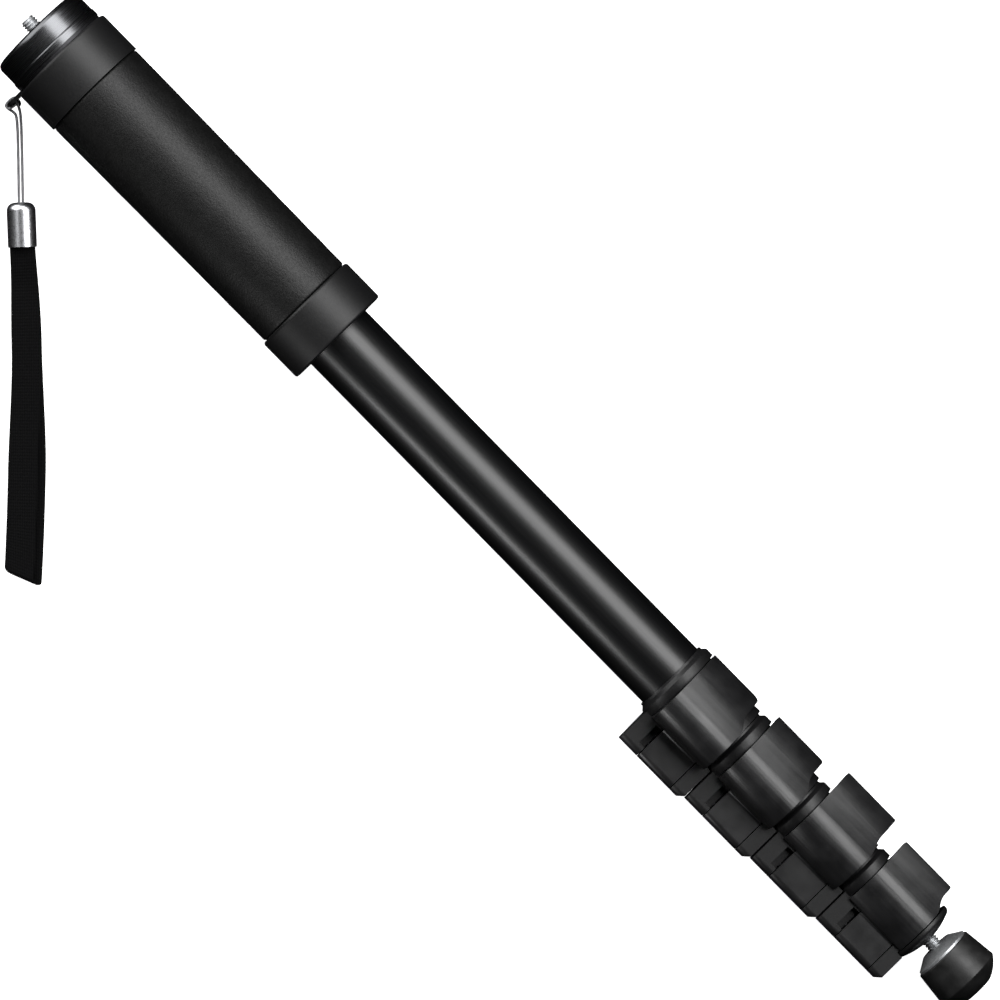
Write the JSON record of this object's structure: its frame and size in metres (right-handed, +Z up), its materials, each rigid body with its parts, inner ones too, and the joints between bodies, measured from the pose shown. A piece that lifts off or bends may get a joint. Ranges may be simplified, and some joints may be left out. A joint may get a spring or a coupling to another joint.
{
  "type": "camera monopod",
  "caption": "Folding camera monopod: telescoping tubes with flip-lever locks, foam grip, camera platform with threaded stud, wrist strap and screw-up rubber foot over a spike.",
  "frame": {"origin": "on the leg's axis, at the face of the camera platform that the stud stands out of", "axes": "+X along the leg out of the head, the way the stud points; +Y towards the lock levers' hinge pins and the strap; +Z up as the folded monopod lies on a surface, the side that the levers wrap over"},
  "size_m": [0.5327, 0.1799, 0.046],
  "materials": {
    "steel": "satin",
    "black_chrome": "polished",
    "bright_chrome": "polished",
    "pad_rubber": "matte",
    "grip_plastic": "satin, finely grained",
    "foam": "matte closed-cell foam",
    "black_aluminium": "gloss black anodised",
    "lock_plastic": "moulded, semi-gloss",
    "inner_plastic": "natural acetal",
    "brass": "turned",
    "foot_rubber": "moulded, satin",
    "webbing": "woven nylon",
    "cord": "braided nylon"
  },
  "bodies": {
    "upper_leg": {"camera_stud": "steel", "platform_pad": "pad_rubber", "camera_platform": "black_chrome", "platform_skirt": "black_chrome", "strap_eyelet": "steel", "head_plug": "grip_plastic", "head_nut": "steel", "grip_top_collar": "grip_plastic", "foam_grip": "foam", "grip_end_ring": "grip_plastic", "leg_tube_1": "black_aluminium", "lock_body_1": "lock_plastic", "lever_pin_1": "steel", "strap_ferrule": "bright_chrome", "strap_webbing": "webbing", "strap_cord": "cord"},
    "section_2": {"leg_tube_2": "black_aluminium", "guide_bush_2": "inner_plastic", "lock_body_2": "lock_plastic", "lever_pin_2": "steel"},
    "section_3": {"leg_tube_3": "black_aluminium", "guide_bush_3": "inner_plastic", "lock_body_3": "lock_plastic", "lever_pin_3": "steel"},
    "section_4": {"leg_tube_4": "black_aluminium", "guide_bush_4": "inner_plastic", "lock_body_4": "lock_plastic", "lever_pin_4": "steel"},
    "section_5": {"leg_tube_5": "black_aluminium", "guide_bush_5": "inner_plastic", "leg_end_cap": "lock_plastic", "spike_rod": "bright_chrome"},
    "lever_1": {"lock_lever_1": "lock_plastic"},
    "shoe_1": {"clamp_shoe_1": "inner_plastic"},
    "lever_2": {"lock_lever_2": "lock_plastic"},
    "shoe_2": {"clamp_shoe_2": "inner_plastic"},
    "lever_3": {"lock_lever_3": "lock_plastic"},
    "shoe_3": {"clamp_shoe_3": "inner_plastic"},
    "lever_4": {"lock_lever_4": "lock_plastic"},
    "shoe_4": {"clamp_shoe_4": "inner_plastic"},
    "foot_carrier": {"foot_washer": "bright_chrome"},
    "foot": {"rubber_foot": "foot_rubber", "foot_insert": "brass"}
  },
  "joints": [
    {"name": "section_2_slide", "type": "slide", "parent": "upper_leg", "child": "section_2", "axis": [-1, 0, 0], "range_m": [0, 0.262]},
    {"name": "section_3_slide", "type": "slide", "parent": "section_2", "child": "section_3", "axis": [-1, 0, 0], "range_m": [0, 0.262]},
    {"name": "section_4_slide", "type": "slide", "parent": "section_3", "child": "section_4", "axis": [-1, 0, 0], "range_m": [0, 0.262]},
    {"name": "section_5_slide", "type": "slide", "parent": "section_4", "child": "section_5", "axis": [-1, 0, 0], "range_m": [0, 0.262]},
    {"name": "lever_1_hinge", "type": "hinge", "parent": "upper_leg", "child": "lever_1", "pos_m": [-0.37645, 0.0249, 0], "axis": [-1, 0, 0], "range_deg": [0, 150]},
    {"name": "shoe_1_press", "type": "slide", "parent": "upper_leg", "child": "shoe_1", "axis": [0, 1, 0], "range_m": [0, 0.00041]},
    {"name": "lever_2_hinge", "type": "hinge", "parent": "section_2", "child": "lever_2", "pos_m": [-0.41145, 0.0231, 0], "axis": [-1, 0, 0], "range_deg": [0, 150]},
    {"name": "shoe_2_press", "type": "slide", "parent": "section_2", "child": "shoe_2", "axis": [0, 1, 0], "range_m": [0, 0.00041]},
    {"name": "lever_3_hinge", "type": "hinge", "parent": "section_3", "child": "lever_3", "pos_m": [-0.44645, 0.0213, 0], "axis": [-1, 0, 0], "range_deg": [0, 150]},
    {"name": "shoe_3_press", "type": "slide", "parent": "section_3", "child": "shoe_3", "axis": [0, 1, 0], "range_m": [0, 0.00041]},
    {"name": "lever_4_hinge", "type": "hinge", "parent": "section_4", "child": "lever_4", "pos_m": [-0.48145, 0.0195, 0], "axis": [-1, 0, 0], "range_deg": [0, 150]},
    {"name": "shoe_4_press", "type": "slide", "parent": "section_4", "child": "shoe_4", "axis": [0, 1, 0], "range_m": [0, 0.00041]},
    {"name": "foot_lift", "type": "slide", "parent": "section_5", "child": "foot_carrier", "axis": [1, 0, 0], "range_m": [0, 0.00381]},
    {"name": "foot_screw", "type": "hinge", "parent": "foot_carrier", "child": "foot", "pos_m": [-0.50741, 0, 0], "axis": [1, 0, 0], "range_deg": [0, 1080]}
  ],
  "couplings": [
    {"joint": "shoe_1_press", "follows": "lever_1_hinge", "m_per_rad": 0.0001527},
    {"joint": "shoe_2_press", "follows": "lever_2_hinge", "m_per_rad": 0.0001527},
    {"joint": "shoe_3_press", "follows": "lever_3_hinge", "m_per_rad": 0.0001527},
    {"joint": "shoe_4_press", "follows": "lever_4_hinge", "m_per_rad": 0.0001527},
    {"joint": "foot_lift", "follows": "foot_screw", "m_per_rad": 0.00020212}
  ]
}
